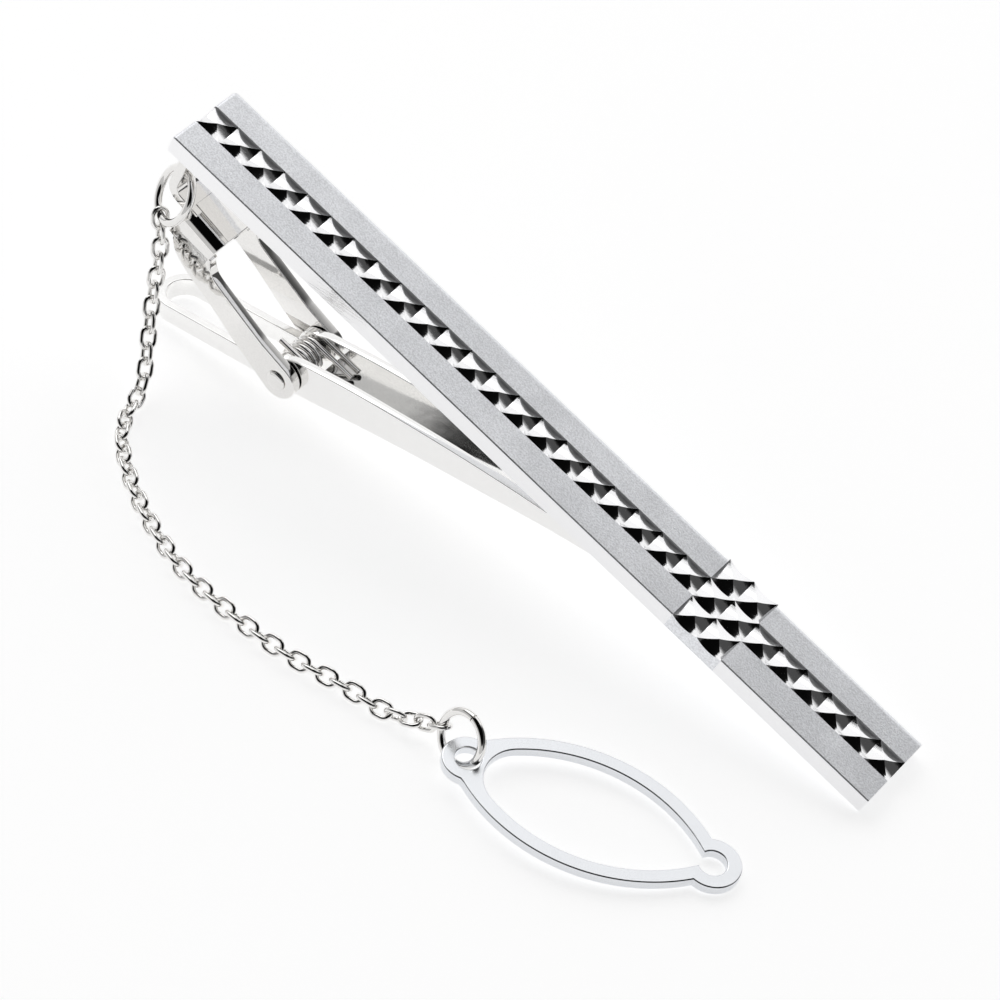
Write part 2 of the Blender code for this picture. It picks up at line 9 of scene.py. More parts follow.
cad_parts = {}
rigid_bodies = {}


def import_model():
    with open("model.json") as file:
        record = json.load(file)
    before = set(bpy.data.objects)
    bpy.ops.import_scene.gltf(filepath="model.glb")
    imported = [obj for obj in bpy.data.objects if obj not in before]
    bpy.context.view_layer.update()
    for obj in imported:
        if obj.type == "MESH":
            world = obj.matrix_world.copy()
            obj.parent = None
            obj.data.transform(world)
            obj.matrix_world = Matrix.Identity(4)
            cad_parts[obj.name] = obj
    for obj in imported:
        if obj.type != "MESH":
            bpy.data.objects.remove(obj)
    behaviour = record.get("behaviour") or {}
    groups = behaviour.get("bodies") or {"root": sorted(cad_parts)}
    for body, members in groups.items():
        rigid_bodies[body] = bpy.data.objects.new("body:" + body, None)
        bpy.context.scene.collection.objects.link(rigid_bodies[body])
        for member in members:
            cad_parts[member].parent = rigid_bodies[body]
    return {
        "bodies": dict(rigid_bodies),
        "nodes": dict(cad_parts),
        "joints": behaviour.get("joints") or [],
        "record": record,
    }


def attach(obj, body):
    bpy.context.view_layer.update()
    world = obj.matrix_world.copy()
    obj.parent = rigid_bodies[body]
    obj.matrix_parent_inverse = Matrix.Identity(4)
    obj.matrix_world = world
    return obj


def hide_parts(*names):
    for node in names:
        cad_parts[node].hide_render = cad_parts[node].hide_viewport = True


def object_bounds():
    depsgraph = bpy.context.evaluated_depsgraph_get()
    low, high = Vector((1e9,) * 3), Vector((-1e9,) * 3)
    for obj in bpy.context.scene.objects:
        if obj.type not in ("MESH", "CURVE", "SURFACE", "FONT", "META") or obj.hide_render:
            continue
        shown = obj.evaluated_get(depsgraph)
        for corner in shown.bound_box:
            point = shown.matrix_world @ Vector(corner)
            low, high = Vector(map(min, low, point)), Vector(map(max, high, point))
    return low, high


for startup in list(bpy.data.objects):
    bpy.data.objects.remove(startup, do_unlink=True)
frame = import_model()
CAD_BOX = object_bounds()

MM = 0.001
WELD = 2e-7
RECORD = frame["record"]
MOUNTS = {mount["name"]: mount for mount in RECORD["mounts"]}
JOINTS = {joint["name"]: joint for joint in frame["joints"]}

# Bar and studs: one long row of hollow-ground pyramids, three rows wide at the cross
STUD = 2.0 * MM
STUDS_LONG = 29
CROSS = (21, 22)
BAR_LENGTH = STUDS_LONG * STUD
BAR_HALF = 3.0 * MM
BAR_THICK = 1.5 * MM
ROW_HALF = 0.95 * MM
NEAR_CHAMFER = 0.07 * MM
FAR_FILLET = 0.42 * MM
LOW_CHAMFER = 0.1 * MM
STUD_DEPTH = 0.29 * MM  # middle of a stud's edge, below the satin top
STUD_RISE = 0.04 * MM  # point of a stud, above the satin top
CORNER_DEPTH = 0.02 * MM  # corner of a stud, below the satin top
END_ROUND = 0.24 * MM
EDGE_STEPS = 16
CELL_STEPS = 12
CURVE_STEPS = 13
END_CUTS = 9

# Bending of the top and far edges at the rounded clip end
ROUND_POWER = 1.5
ROUND_DROP = 0.8
ROUND_FAR = 0.9
ROUND_NEAR = 0.25

# Bracket
SHEET = 0.7 * MM
SHEET_EDGE = 0.07 * MM
FLANGE_TOP = -BAR_THICK - 0.02 * MM
WALL_SHEET = SHEET - 0.02 * MM
BRACKET_HALF = 2.6 * MM
FLANGE_END = 6.5 * MM
PLATE_START = 2.6 * MM
PLATE_END = 5.75 * MM
PLATE_Z = -6.35 * MM
PLATE_SLOPE_DEG = 9
PLATE_SLOPE = math.radians(PLATE_SLOPE_DEG)
CHANNEL_DEPTH = 2.2 * MM
BEND_RADIUS = 0.9 * MM
WALL_X = 0.95 * MM
WALL_HALF = 2.0 * MM
LEG_END_RADIUS = 1.4 * MM
LEG_START = (2.6, -7.1)
LEG_TOP = ((5.7, -7.3), (5.78, -7.75), (6.05, -8.2), (6.6, -8.6), (8.4, -9.15), (11.2, -9.95))
LEG_UNDER = ((9.3, -11.75), (6.9, -10.75), (4.6, -9.95), (3.3, -9.2), (2.7, -8.3))
RING_HOLE = Vector((0.95, -1.0, -4.36)) * MM
RING_HOLE_RADIUS = 0.7 * MM

# Pin, lever, spring
PIVOT = Vector((13.2, 0.0, -11.7)) * MM
PIN_RADIUS = 0.5 * MM
PIN_HOLE_RADIUS = PIN_RADIUS + 0.04 * MM
PIN_HEAD_GAP = 0.04 * MM
PIN_HEAD_RADIUS = 0.72 * MM
PIN_HEAD_HEIGHT = 0.22 * MM
LEVER_HALF = 1.8 * MM
LEVER_SHEET = 0.6 * MM
LEVER_EDGE = 0.06 * MM
LEVER_FLOOR_EDGE = 0.05 * MM
LEVER_EAR_RADIUS = 1.3 * MM
TAIL_LENGTH = 11.6 * MM
TAIL_HEIGHT = 1.4 * MM
TAIL_SLOPE = math.radians(22.9)
TAIL_DROP = 0.5 * MM
TAIL_START = -0.4 * MM
JAW_GAP = 0.05 * MM
JAW_TOP = (
    (13.6, -9.85), (17.1, -8.26), (20.4, -6.96), (23.7, -5.74), (27.0, -4.6), (30.5, -3.5), (34.0, -2.5),
)
JAW_UNDER = (
    (14.0, -12.72), (14.85, -12.3), (17.0, -11.28), (22.1, -8.85), (27.9, -6.3), (33.0, -4.1),
    (38.0, -2.25),
)
JAW_TIP = (38.7, -1.9)
SPRING_WIRE = 0.38 * MM
SPRING_RADIUS = 1.05 * MM
SPRING_TURNS = 4
SPRING_PITCH = 0.42 * MM
ARM_STEP = 0.2 * MM

# Rings, chain and loop
RING_WIRE = 0.54 * MM
RING_SLIT = 0.06 * MM
RING_SLIT_DEG = 2.2
UPPER_RING_RADIUS = 1.78 * MM
LOWER_RING_RADIUS = 1.62 * MM
LINK_WIRE = 0.3 * MM
LINK_RADIUS = 0.48 * MM
LINK_STRAIGHT = 0.373 * MM
LOOP_THICK = 0.7 * MM
LOOP_EDGE = 0.1 * MM
LOOP_BAND = 0.92 * MM
LOOP_HALF_WIDTH = 4.35 * MM
LOOP_MIDDLE = 7.6 * MM
LOOP_ARC_RADIUS = 11.26 * MM
LOOP_NECK = 14.84 * MM
LOOP_END_RADIUS = 2.29 * MM
LOOP_END_CENTRE = 3.47 * MM
EYE_RADIUS = 1.6 * MM
EYE_HOLE_RADIUS = 0.8 * MM
EYE_DROP = Vector((0.98, -0.53, -0.83)) * MM
KNOB_RADIUS = 1.77 * MM
KNOB_HOLE_RADIUS = 0.85 * MM
KNOB_CENTRE = 15.55 * MM
LOOP_HEADING = math.radians(16.2)

# Slow waves and drawn lines in the metal
WAVE_LENGTH = 2.2 * MM
LINE_SCALE = (1 / (6 * MM), 1 / (0.12 * MM), 1 / (0.12 * MM))

# The photo's camera in the bar's axes: its place, then its right, down and forward directions
CAMERA_SPOT = Vector((57.02, -139.73, 185.53)) * MM
CAMERA_RIGHT = (0.717, 0.6104, 0.3365)
CAMERA_DOWN = (0.6871, -0.5378, -0.4885)
CAMERA_FORWARD = (-0.1172, 0.5815, -0.8051)
SENSOR = 36.0
LENS_TO_SENSOR = 3.879

# Floor and light
FLOOR_SPAN = 1.5
FLOOR_GAP = 0.00002
FLOOR_GREY = 0.50
FLOOR_GLOW = 0.76
WORLD_BASE = 0.60
# Direction, dot products where a patch starts and is full, strength; each lies over the ones before it
WORLD_PATCHES = (
    ((0.1, 0.75, 0.65), 0.5, 0.9, 1.05),  # behind the bar: satin top, loop and far facets light
    ((-0.75, 0.50, 0.43), 0.86, 0.94, 0.98),  # back left: left facets light
    ((0.90, 0.30, 0.30), 0.62, 0.82, 0.07),  # right: right facets dark
    ((-0.62, -0.15, 0.77), 0.88, 0.95, 0.18),  # left: grey part of the near facets
    ((0.15, -0.35, 0.92), 0.64, 0.70, 0.002),  # above the camera's side: near facets black
)
KEY_TOWARD = (-0.55, 0.25, 0.8)
KEY_DISTANCE = 0.6
KEY_SIZE = 0.45
KEY_POWER = 0.5


# ---------------------------------------------------------------- places

def bar_matrix():
    """The bar's own axes: X along it from the clip end, Y across, Z = 0 at the satin top."""
    top = MOUNTS["bar_top"]
    up = Vector(top["axis"]).normalized()
    across = Vector((0.0, 1.0, 0.0))
    along = across.cross(up).normalized()
    origin = Vector(top["pos_m"]) - along * 0.03 + across * 0.002
    turn = Matrix((along, across, up)).transposed().to_4x4()
    return Matrix.Translation(origin) @ turn


def axes_of(node):
    """Centre of a wire node, its long direction and the normal of its plane, from its own points."""
    points = np.array([vert.co for vert in frame["nodes"][node].data.vertices])
    centre = points.mean(axis=0)
    _, turn = np.linalg.eigh(np.cov((points - centre).T))
    return Vector(centre), Vector(turn[:, 2]), Vector(turn[:, 0])


def basis(first, third):
    """A rotation whose X is first and whose Z is third, made square to X."""
    x = first.normalized()
    z = (third - x * third.dot(x)).normalized()
    return Matrix((x, z.cross(x), z)).transposed()


# ---------------------------------------------------------------- mesh helpers

def show(name, data):
    """A new object with this data, in the scene."""
    obj = bpy.data.objects.new(name, data)
    bpy.context.scene.collection.objects.link(obj)
    return obj


def place(name, mesh, material, body, matrix, nodes=()):
    """A visible piece: a copy of the mesh moved by the matrix, riding on a body."""
    mesh = mesh.copy()
    mesh.transform(matrix)
    mesh.materials.clear()
    mesh.materials.append(material)
    obj = show(name, mesh)
    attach(obj, body)
    if nodes:
        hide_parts(*nodes)


def evaluated(obj, *helpers):
    """The object's mesh with its modifiers applied; the object and its helpers are removed."""
    graph = bpy.context.evaluated_depsgraph_get()
    made = bpy.data.meshes.new_from_object(obj.evaluated_get(graph))
    for used in (obj, *helpers):
        bpy.data.objects.remove(used, do_unlink=True)
    return made


def finished(work, name):
    """A mesh out of a bmesh, which is freed."""
    mesh = bpy.data.meshes.new(name)
    work.to_mesh(mesh)
    work.free()
    return mesh


def arc(cx, cy, radius, start, end, steps=24):
    """Points on a circle between two angles in degrees, both ends included."""
    turn = np.radians(np.linspace(start, end, steps + 1))
    return [(cx + radius * math.cos(a), cy + radius * math.sin(a)) for a in turn]


def curve_mesh(splines, closed, bevel, extrude=0.0, flat=False, resolution=3, inset=0.0):
    """A mesh from a temporary POLY curve: flat outlines are filled and extruded, others are wires."""
    data = bpy.data.curves.new("work", "CURVE")
    data.dimensions = "2D" if flat else "3D"
    if flat:
        data.fill_mode = "BOTH"
    data.extrude = extrude / 2
    data.bevel_depth = bevel
    data.bevel_resolution = resolution
    data.offset = -inset
    data.use_fill_caps = not closed
    for points in splines:
        spline = data.splines.new("POLY")
        spline.points.add(len(points) - 1)
        for knot, point in zip(spline.points, points):
            knot.co = (*point, 0.0, 1.0) if len(point) == 2 else (*point, 1.0)
        spline.use_cyclic_u = closed
    return weld(evaluated(show("work", data)))


def weld(mesh):
    """The mesh with doubled points merged and its faces turned outwards."""
    work = bmesh.new()
    work.from_mesh(mesh)
    bmesh.ops.remove_doubles(work, verts=work.verts, dist=WELD)
    bmesh.ops.recalc_face_normals(work, faces=work.faces)
    work.to_mesh(mesh)
    work.free()
    return mesh


def joined(meshes):
    """One mesh out of several."""
    work = bmesh.new()
    for mesh in meshes:
        work.from_mesh(mesh)
    return finished(work, "joined")


def smooth(mesh, angle):
    """Smooth shading, but sharp at edges past the angle in degrees."""
    mesh.shade_smooth()
    mesh.set_sharp_from_angle(angle=math.radians(angle))
    return mesh


def softened(mesh, width, cutter=None):
    """The mesh with its edges rounded over, after an optional exact cut."""
    obj = show("work", mesh)
    helpers = []
    if cutter:
        helpers.append(show("work_cutter", cutter))
        cut = obj.modifiers.new("cut", "BOOLEAN")
        cut.operation = "DIFFERENCE"
        cut.solver = "EXACT"
        cut.object = helpers[0]
    bevel = obj.modifiers.new("edge", "BEVEL")
    bevel.width = width
    bevel.segments = 3
    bevel.limit_method = "ANGLE"
    bevel.angle_limit = math.radians(38)
    bevel.use_clamp_overlap = False
    bevel.harden_normals = True
    mesh.shade_smooth()
    return evaluated(obj, *helpers)


def sheet(outlines, thickness, edge):
    """Filled outlines, holes among them, as flat sheet with rounded edges and flat-shaded faces."""
    depth = thickness - 2 * edge
    mesh = curve_mesh(outlines, True, edge, extrude=depth, flat=True, inset=edge)
    smooth(mesh, 40)
    faces = [face for face in mesh.polygons if abs(face.normal.z) > 0.999]
    flat = {vertex: face.normal.copy() for face in faces for vertex in face.vertices}
    usual = [normal.vector.copy() for normal in mesh.corner_normals]
    normals = [flat.get(corner.vertex_index, usual[corner.index]) for corner in mesh.loops]
    mesh.normals_split_custom_set(normals)
    return mesh


def plate(outline, y_low, y_high, edge, hole_centre):
    """An outline in X and Z, with a hole for the pin, as a plate from y_low to y_high."""
    hole = arc(*hole_centre, PIN_HOLE_RADIUS, 0, 360, 48)[:-1]
    mesh = sheet([outline, hole], y_high - y_low, edge)
    turn = Matrix.Rotation(math.radians(90), 4, "X")
    mesh.transform(Matrix.Translation((0, (y_low + y_high) / 2, 0)) @ turn)
    return mesh


def strip(path, thickness, y_low, y_high):
    """A closed strip of sheet along a path in X and Z, by offsetting the path to both sides."""
    points = [Vector((x, z)) for x, z in path]
    normals = []
    for index, point in enumerate(points):
        before = points[max(index - 1, 0)]
        after = points[min(index + 1, len(points) - 1)]
        along = (after - before).normalized()
        normals.append(Vector((-along.y, along.x)))
    left = [p + n * thickness / 2 for p, n in zip(points, normals)]
    right = [p - n * thickness / 2 for p, n in zip(points, normals)]
    work = bmesh.new()
    rows = []
    for y in (y_low, y_high):
        rows.append([[work.verts.new((p.x, y, p.y)) for p in side] for side in (left, right)])
    (near_left, near_right), (far_left, far_right) = rows
    for i in range(len(points) - 1):
        work.faces.new((near_left[i], near_left[i + 1], far_left[i + 1], far_left[i]))
        work.faces.new((near_right[i + 1], near_right[i], far_right[i], far_right[i + 1]))
        work.faces.new((near_right[i], near_right[i + 1], near_left[i + 1], near_left[i]))
        work.faces.new((far_left[i], far_left[i + 1], far_right[i + 1], far_right[i]))
    work.faces.new((near_left[0], far_left[0], far_right[0], near_right[0]))
    work.faces.new((near_right[-1], far_right[-1], far_left[-1], near_left[-1]))
    bmesh.ops.recalc_face_normals(work, faces=work.faces)
    return finished(work, "strip")


def disc_cutter(radius, length, centre):
    """A disc about X, for cutting a round hole."""
    work = bmesh.new()
    turn = Matrix.Rotation(math.radians(90), 4, "Y")
    bmesh.ops.create_cone(
        work, cap_ends=True, segments=64, radius1=radius, radius2=radius, depth=length,
        matrix=Matrix.Translation(centre) @ turn,
    )
    return finished(work, "cutter")


def lathe(profile, steps=48):
    """A turned body about Y from (radius, y) points."""
    work = bmesh.new()
    rings = []
    for radius, y in profile:
        if radius < WELD:
            rings.append([work.verts.new((0, y, 0))] * steps)
            continue
        turn = [math.tau * k / steps for k in range(steps)]
        rings.append([work.verts.new((radius * math.cos(a), y, radius * math.sin(a))) for a in turn])
    for low, high in zip(rings, rings[1:]):
        for k in range(steps):
            corners = [low[k], low[(k + 1) % steps], high[(k + 1) % steps], high[k]]
            unique = list(dict.fromkeys(corners))
            if len(unique) > 2:
                work.faces.new(unique)
    bmesh.ops.recalc_face_normals(work, faces=work.faces)
    return smooth(finished(work, "turned"), 50)


# ---------------------------------------------------------------- bar

def stud_depth(r, t):
    """Depth of a stud's facet below the satin top: r runs from point to edge, t across the facet."""
    return (STUD_DEPTH + STUD_RISE) * r - STUD_RISE - (STUD_DEPTH - CORNER_DEPTH) * (r * t) ** 2


class Patches:
    """Gathers separate smooth patches, each a grid of points, into one mesh."""

    def __init__(self):
        self.points = []
        self.faces = []

    def grid(self, rows):
        first = len(self.points)
        width = len(rows[0])
        for row in rows:
            self.points.extend(row)
        for i in range(len(rows) - 1):
            for k in range(width - 1):
                a = first + i * width + k
                self.faces.append((a, a + 1, a + width + 1, a + width))

    def band(self, cuts, lines):
        """A grid along the bar: for each (y, z) line, its points at every cut."""
        self.grid([[Vector((x, y, z)) for x in cuts] for y, z in lines])

    def polygon(self, points):
        first = len(self.points)
        self.points.extend(points)
        self.faces.append(tuple(range(first, first + len(points))))

    def mesh(self, name):
        mesh = bpy.data.meshes.new(name)
        mesh.from_pydata([tuple(p) for p in self.points], [], self.faces)
        mesh.validate()
        mesh.shade_smooth()
        return mesh


def stud_cell(patches, x0, x1, y0, y1):
    """One pyramid stud of four hollow-ground facets."""
    centre = Vector(((x0 + x1) / 2, (y0 + y1) / 2, 0))
    half = Vector(((x1 - x0) / 2, (y1 - y0) / 2, 0))
    for turn in range(4):
        rows = []
        for r in np.linspace(0, 1, CELL_STEPS + 1):
            row = []
            for t in np.linspace(-1, 1, EDGE_STEPS + 1):
                u, v = (r, r * t)
                for _ in range(turn):
                    u, v = -v, u
                row.append(centre + Vector((u * half.x, v * half.y, -stud_depth(r, t))))
            rows.append(row)
        patches.grid(rows)


def scallop(patches, start, end, axis, fixed, top):
    """A wall between a stud's scalloped edge and a level border at the height top."""
    upper, lower = [], []
    for t in np.linspace(-1, 1, EDGE_STEPS + 1):
        along = start + (end - start) * (t + 1) / 2
        spot = (along, fixed) if axis == "x" else (fixed, along)
        upper.append(Vector((*spot, top)))
        lower.append(Vector((*spot, -stud_depth(1.0, t))))
    patches.grid([upper, lower])


def stations(x0, x1):
    """Cuts along the bar: close together where its clip end is rounded over."""
    if x0 > 0:
        return [x0, x1]
    return [END_ROUND * (1 - math.cos(a)) for a in np.linspace(0, math.pi / 2, END_CUTS)] + [x1]


def round_end(mesh):
    """Draws the top and far edges in towards the clip end, as on a tumbled bar."""
    for vert in mesh.vertices:
        x, y, z = vert.co
        inside = END_ROUND - x
        if inside <= 0:
            continue
        drop = END_ROUND - math.sqrt(max(0.0, END_ROUND**2 - inside**2))
        high = min(1.0, max(0.0, (z + BAR_THICK) / BAR_THICK))
        vert.co.z = z - drop * high**ROUND_POWER * ROUND_DROP
        vert.co.y = y * (1 - drop / BAR_HALF * (ROUND_FAR if y > 0 else ROUND_NEAR))


def far_fillet():
    """The rounded far edge as (y, z) points, from the satin top outwards."""
    return [
        (BAR_HALF - FAR_FILLET * (1 - math.sin(a)), -FAR_FILLET * (1 - math.cos(a)))
        for a in np.linspace(0, math.pi / 2, CURVE_STEPS)
    ]


def satin_strip(patches, x0, x1, side):
    """One band of the satin top with its outer edge, side -1 near or +1 far."""
    inner = (side * ROW_HALF, 0.0)
    if side < 0:
        edge = [(-BAR_HALF, -NEAR_CHAMFER), (-BAR_HALF + NEAR_CHAMFER, 0.0)]
        top = (edge[1], inner)
    else:
        edge = far_fillet()
        top = (inner, edge[0])
    for line in (edge, top):
        patches.grid([[Vector((x, y, z)) for y, z in line] for x in stations(x0, x1)])


def make_bar_meshes():
    """Three meshes in the bar's axes: the satin body, the bright studs, the matt walls beside them."""
    satin, studs, walls = Patches(), Patches(), Patches()
    cross_low, cross_high = CROSS[0] * STUD, (CROSS[-1] + 1) * STUD
    bottom, middle, foot = -BAR_THICK, -BAR_THICK / 2, -BAR_THICK + LOW_CHAMFER
    for column in range(STUDS_LONG):
        x0, x1 = column * STUD, (column + 1) * STUD
        stud_cell(studs, x0, x1, -ROW_HALF, ROW_HALF)
        border, top, owner = ROW_HALF, 0.0, walls
        if column in CROSS:
            stud_cell(studs, x0, x1, -BAR_HALF, -ROW_HALF)
            stud_cell(studs, x0, x1, ROW_HALF, BAR_HALF)
            border, top, owner = BAR_HALF, middle, satin
        for y in (-border, border):
            scallop(owner, x0, x1, "x", y, top)
    for side in (-1, 1):
        outer = side * BAR_HALF
        top, owner = (-NEAR_CHAMFER, studs) if side < 0 else (-FAR_FILLET, satin)
        for x in (cross_low, cross_high):
            scallop(walls, side * ROW_HALF, outer, "y", x, 0.0)
        for x0, x1 in ((0.0, cross_low), (cross_high, BAR_LENGTH)):
            satin_strip(satin, x0, x1, side)
            owner.band(stations(x0, x1), ((outer, top), (outer, foot)))
        satin.band((cross_low, cross_high), ((outer, middle), (outer, foot)))
    make_ends(satin)
    inner = BAR_HALF - LOW_CHAMFER
    cuts = stations(0.0, BAR_LENGTH)
    for side in (-1, 1):
        satin.band(cuts, ((side * BAR_HALF, foot), (side * inner, bottom)))
    satin.band(cuts, ((-inner, bottom), (inner, bottom)))
    bodies = [outwards(patches.mesh("bar")) for patches in (satin, studs, walls)]
    bodies[2].flip_normals()  # the walls look in, at the studs
    for body in bodies:
        round_end(body)
    return bodies


def make_ends(satin):
    """The bar's two flat ends, with the scalloped edge of the row of studs."""
    low, inner = -BAR_THICK, BAR_HALF - LOW_CHAMFER
    outline = [(-BAR_HALF, low + LOW_CHAMFER), (-BAR_HALF, -NEAR_CHAMFER)]
    outline += [(-BAR_HALF + NEAR_CHAMFER, 0.0), (-ROW_HALF, 0.0)]
    outline += [(t * ROW_HALF, -stud_depth(1.0, t)) for t in np.linspace(-1, 1, EDGE_STEPS + 1)]
    outline += [(ROW_HALF, 0.0), *far_fillet()]
    outline += [(BAR_HALF, low + LOW_CHAMFER), (inner, low), (-inner, low)]
    for x in (0.0, BAR_LENGTH):
        satin.polygon([Vector((x, y, z)) for y, z in outline])


def outwards(mesh):
    """Faces turned outwards without welding, so that each patch keeps its own sharp border."""
    work = bmesh.new()
    work.from_mesh(mesh)
    bmesh.ops.dissolve_degenerate(work, dist=1e-8, edges=work.edges)
    for face in work.faces:
        x, y, z = face.calc_center_median()
        away = Vector((0, 0, z + BAR_THICK / 2))
        if abs(face.normal.x) > 0.9:
            away = Vector((x - BAR_LENGTH / 2, 0, 0))
        elif abs(face.normal.y) > 0.9:
            away = Vector((0, y, 0))
        if face.normal.dot(away) < 0:
            face.normal_flip()
    work.to_mesh(mesh)
    work.free()
    mesh.shade_smooth()
    return mesh


# ---------------------------------------------------------------- clip

def plate_height(x):
    """Height of the middle of the bracket's sloping plate."""
    return PLATE_Z + (PLATE_END - x) * math.tan(PLATE_SLOPE)


def in_metres(points):
    return [(x * MM, z * MM) for x, z in points]


def leg_outline():
    """A bracket leg in X and Z: top edge, round end about the pin, lower edge."""
    end = arc(PIVOT.x, PIVOT.z, LEG_END_RADIUS, 78, -112, 40)
    top, under = flowing(in_metres(LEG_TOP), 6), flowing(in_metres(LEG_UNDER), 6)
    return in_metres([LEG_START]) + top + end + under


def flowing(points, samples):
    """A smooth line through points in a plane, ends kept."""
    spots = [Vector(p) for p in points]
    spots = [2 * spots[0] - spots[1]] + spots + [2 * spots[-1] - spots[-2]]
    out = []
    for a, b, c, d in zip(spots, spots[1:], spots[2:], spots[3:]):
        for step in range(samples):
            t = step / samples
            out.append(
                0.5 * ((2 * b) + (c - a) * t + (2 * a - 5 * b + 4 * c - d) * t**2
                       + (3 * b - a - 3 * c + d) * t**3)
            )
    out.append(spots[-2])
    return [tuple(p) for p in out]


def bracket_mesh():
    """The folded bracket: flange and wall with the ring's hole, channel, two legs."""
    top = FLANGE_TOP - SHEET / 2
    bend_x = WALL_X + BEND_RADIUS
    low = plate_height(bend_x)
    path = [(FLANGE_END, top)]
    path += arc(bend_x, top - BEND_RADIUS, BEND_RADIUS, 90, 180, 20)
    path += arc(bend_x, low + BEND_RADIUS, BEND_RADIUS, 180, 270 - PLATE_SLOPE_DEG, 20)
    path += [(PLATE_START + SHEET, plate_height(PLATE_START + SHEET))]
    wall = strip(path, WALL_SHEET, -WALL_HALF, WALL_HALF)
    wall = softened(wall, SHEET_EDGE, disc_cutter(RING_HOLE_RADIUS, 3 * SHEET, RING_HOLE))

    side = BRACKET_HALF - SHEET / 2
    section = [(-side, -CHANNEL_DEPTH)]
    section += arc(-side + BEND_RADIUS, -BEND_RADIUS, BEND_RADIUS, 180, 90, 20)
    section += arc(side - BEND_RADIUS, -BEND_RADIUS, BEND_RADIUS, 90, 0, 20)
    section += [(side, -CHANNEL_DEPTH)]
    channel = strip(section, SHEET, -(PLATE_END - PLATE_START) / 2, (PLATE_END - PLATE_START) / 2)
    middle = (PLATE_START + PLATE_END) / 2
    upright = Matrix.Rotation(math.radians(90), 4, "Z")
    lean = Matrix.Rotation(PLATE_SLOPE, 4, "Y")
    channel.transform(Matrix.Translation((middle, 0, plate_height(middle))) @ lean @ upright)
    channel = softened(channel, SHEET_EDGE)

    outer, inner = BRACKET_HALF, BRACKET_HALF - SHEET
    legs = [
        plate(leg_outline(), y_low, y_high, SHEET_EDGE, (PIVOT.x, PIVOT.z))
        for y_low, y_high in ((-outer, -inner), (inner, outer))
    ]
    return joined([wall, channel, *legs])


def pin_mesh():
    """The hinge pin with a low riveted head at each end."""
    half = BRACKET_HALF + PIN_HEAD_GAP
    head = [
        (PIN_HEAD_RADIUS * math.sin(a), half + PIN_HEAD_HEIGHT * math.cos(a) ** 0.8)
        for a in np.linspace(0, math.pi / 2, 12)[:-1]
    ]
    head += [(PIN_HEAD_RADIUS, half + 0.02 * MM), (PIN_HEAD_RADIUS - 0.03 * MM, half)]
    head += [(PIN_RADIUS, half)]
    return lathe(head + [(x, -y) for x, y in reversed(head)])


def from_pivot(points):
    return [(x * MM - PIVOT.x, z * MM - PIVOT.z) for x, z in points]


def jaw_top():
    """The lever's upper edge, with a flat tip that presses on the bar."""
    contact = (-BAR_THICK - JAW_GAP) / MM
    slope = flowing([*JAW_TOP, (36.6, contact - 0.25)], 4)
    return from_pivot(slope + [(37.2, contact), (38.6, contact)])


def jaw_under():
    return from_pivot(flowing(JAW_UNDER, 4) + [JAW_TIP])


def lever_mesh():
    """The lever: two cheeks, the floor between them, the finger loop behind the pin."""
    inner = LEVER_HALF - LEVER_SHEET
    outline = jaw_top()[::-1] + arc(0, 0, LEVER_EAR_RADIUS, 105, 290, 40) + jaw_under()
    cheeks = [
        plate(outline, y_low, y_high, LEVER_EDGE, (0, 0))
        for y_low, y_high in ((-LEVER_HALF, -inner), (inner, LEVER_HALF))
    ]
    overlap = 0.1 * MM
    lift = LEVER_SHEET / 2
    path = [(x - 0.1 * LEVER_SHEET, z + lift + 0.005 * MM) for x, z in jaw_under()[4:-1]]
    floor = strip(path, LEVER_SHEET, -inner - overlap, inner + overlap)
    return joined([*cheeks, softened(floor, LEVER_FLOOR_EDGE), tail_mesh()])


def tail_mesh():
    """The finger loop: a band bent to a U, sloping down from the pin."""
    inner = LEVER_HALF - LEVER_SHEET
    turn = TAIL_LENGTH - LEVER_HALF
    outer = arc(turn, 0, LEVER_HALF, -90, 90, 40)
    hollow = arc(turn, 0, inner, 90, -90, 40)
    outline = [(TAIL_START, -LEVER_HALF), *outer, (TAIL_START, LEVER_HALF)]
    outline += [(TAIL_START, inner), *hollow, (TAIL_START, -inner)]
    band = sheet([outline], TAIL_HEIGHT, SHEET_EDGE)
    along = Vector((-math.cos(TAIL_SLOPE), 0.0, -math.sin(TAIL_SLOPE)))
    up = Vector((-math.sin(TAIL_SLOPE), 0.0, math.cos(TAIL_SLOPE)))
    turned = Matrix((along, up.cross(along), up)).transposed().to_4x4()
    band.transform(Matrix.Translation(-up * TAIL_DROP) @ turned)
    return band


def spring_mesh():
    """The torsion spring: an arm under the bracket, the coil, an arm along the jaw."""
    half = SPRING_TURNS * SPRING_PITCH / 2
    count = SPRING_TURNS * 48
    coil = []
    for step in range(count + 1):
        part = step / count
        angle = math.pi / 2 - part * SPRING_TURNS * math.tau
        y = -half + part * 2 * half
        coil.append((SPRING_RADIUS * math.cos(angle), y, SPRING_RADIUS * math.sin(angle)))
    rest_arm = [(-8 * ARM_STEP + ARM_STEP * k, -half, SPRING_RADIUS) for k in range(8)]
    jaw_arm = [(ARM_STEP * (k + 1), half, SPRING_RADIUS) for k in range(16)]
    return smooth(curve_mesh([rest_arm + coil + jaw_arm], False, SPRING_WIRE / 2, resolution=4), 50)


# ---------------------------------------------------------------- rings, chain and loop

def ring_mesh(radius):
    """A jump ring: round wire bent to a circle, its two cut ends meeting at a hairline slit."""
    gap = math.degrees(RING_SLIT / 2 / radius)
    turn = arc(0, 0, radius, RING_SLIT_DEG + gap, RING_SLIT_DEG + 360 - gap, 96)
    path = [(x, y, 0.0) for x, y in turn]
    return smooth(curve_mesh([path], False, RING_WIRE / 2, resolution=6), 60)


